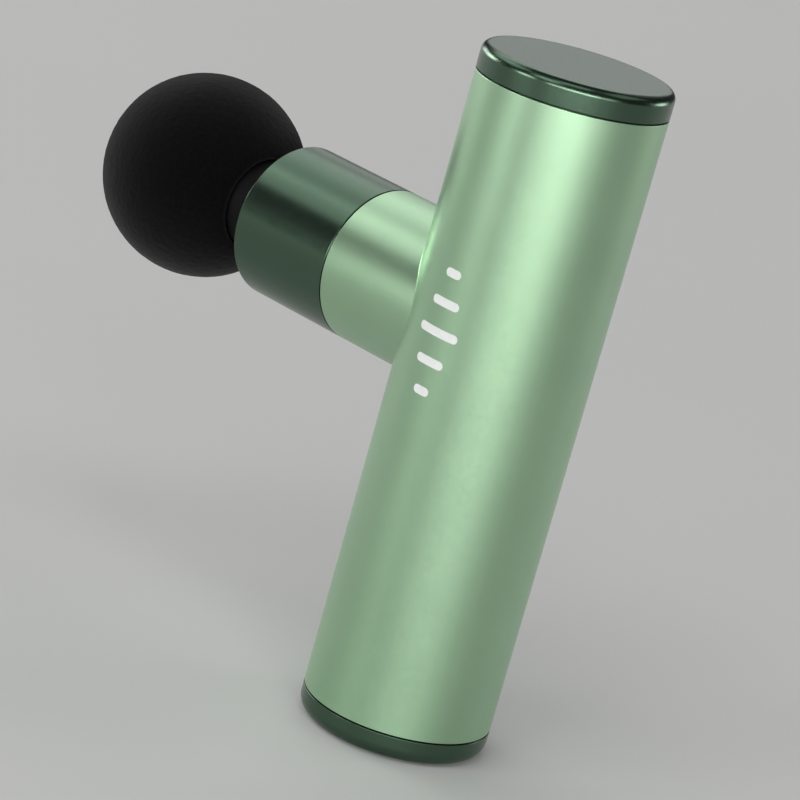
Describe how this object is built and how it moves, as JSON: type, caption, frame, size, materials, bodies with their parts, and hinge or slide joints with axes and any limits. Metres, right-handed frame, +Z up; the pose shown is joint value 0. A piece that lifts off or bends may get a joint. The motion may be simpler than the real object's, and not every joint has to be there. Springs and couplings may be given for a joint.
{
  "type": "massage gun",
  "caption": "Cordless percussion massage gun: straight aluminium tube handle with a side neck, a dark collar and a soft ball head driven by a crank, slotted yoke and piston.",
  "frame": {"origin": "centre of the base cap's flat face, which the tube stands on", "axes": "+Z up along the tube, the head points along -X, Y is across"},
  "size_m": [0.1353, 0.0444, 0.1449],
  "materials": {
    "body_green": "satin anodised light green",
    "cap_green": "satin anodised dark green",
    "ball_foam": "matte black closed-cell foam",
    "seal_rubber": "matte black rubber",
    "black_plastic": "fine-grained black plastic",
    "chassis_plastic": "glass-filled grey plastic",
    "bare_aluminium": "machined",
    "bronze": "oil-filled sintered bronze",
    "steel": "machined",
    "dark_steel": "blackened steel",
    "copper_winding": "enamelled copper wire on laminations",
    "cell_wrap": "blue shrink wrap over a steel can",
    "circuit_board": "green solder mask",
    "clear_plastic": "clear moulded",
    "red_wire": "red insulation"
  },
  "bodies": {
    "housing": {"body_shell": "body_green", "front_collar": "cap_green", "top_cap": "cap_green", "base_cap": "cap_green", "top_cap_ring": "seal_rubber", "base_cap_ring": "seal_rubber", "collar_ring": "seal_rubber", "front_wiper": "seal_rubber", "drive_frame": "chassis_plastic", "frame_damper_1": "seal_rubber", "frame_damper_2": "seal_rubber", "guide_barrel": "bare_aluminium", "guide_bush_rear": "bronze", "guide_bush_front": "bronze", "guide_screw_1": "steel", "guide_screw_2": "steel", "guide_screw_3": "steel", "guide_screw_4": "steel", "motor_screw_1": "steel", "motor_screw_2": "steel", "motor_screw_3": "steel", "motor_screw_4": "steel", "motor_flange": "bare_aluminium", "motor_bearing_lower": "steel", "motor_bearing_upper": "steel", "crank_bearing": "steel", "motor_stator": "copper_winding", "battery_holder": "black_plastic", "battery_cell_1": "cell_wrap", "battery_cell_2": "cell_wrap", "battery_cell_3": "cell_wrap", "main_board": "circuit_board", "main_board_screw_1": "steel", "main_board_screw_2": "steel", "control_board": "circuit_board", "control_board_screw_1": "steel", "control_board_screw_2": "steel", "usb_receptacle": "steel", "tact_switch": "steel", "light_guide": "clear_plastic", "battery_lead_red": "red_wire", "battery_lead_black": "black_plastic", "control_lead": "black_plastic", "motor_lead": "black_plastic"},
    "crank": {"motor_can": "dark_steel", "rotor_magnet": "dark_steel", "motor_shaft": "steel", "crank_disc": "dark_steel", "crank_pin": "steel", "crank_roller": "steel", "pin_clip": "dark_steel"},
    "piston": {"yoke": "steel", "piston_tube": "bare_aluminium"},
    "head": {"head_stem": "black_plastic", "head_ring_inner": "seal_rubber", "head_ring_outer": "seal_rubber", "ball_core": "black_plastic", "ball_head": "ball_foam"},
    "button": {"power_button": "black_plastic"}
  },
  "joints": [
    {"name": "crank_turn", "type": "hinge", "parent": "housing", "child": "crank", "pos_m": [0, 0, 0.0883], "axis": [0, 0, 1], "range_deg": [-90, 90]},
    {"name": "piston_slide", "type": "slide", "parent": "housing", "child": "piston", "axis": [-1, 0, 0], "range_m": [-0.003, 0.003]},
    {"name": "head_release", "type": "slide", "parent": "piston", "child": "head", "axis": [-1, 0, 0], "range_m": [0, 0.028]},
    {"name": "power_button_press", "type": "slide", "parent": "housing", "child": "button", "axis": [0, 0, 1], "range_m": [0, 0.0004], "stiffness_N_per_m": 800, "springref_m": -0.0005}
  ],
  "couplings": [
    {"joint": "piston_slide", "follows": "crank_turn", "m_per_rad": 0.0019098}
  ]
}
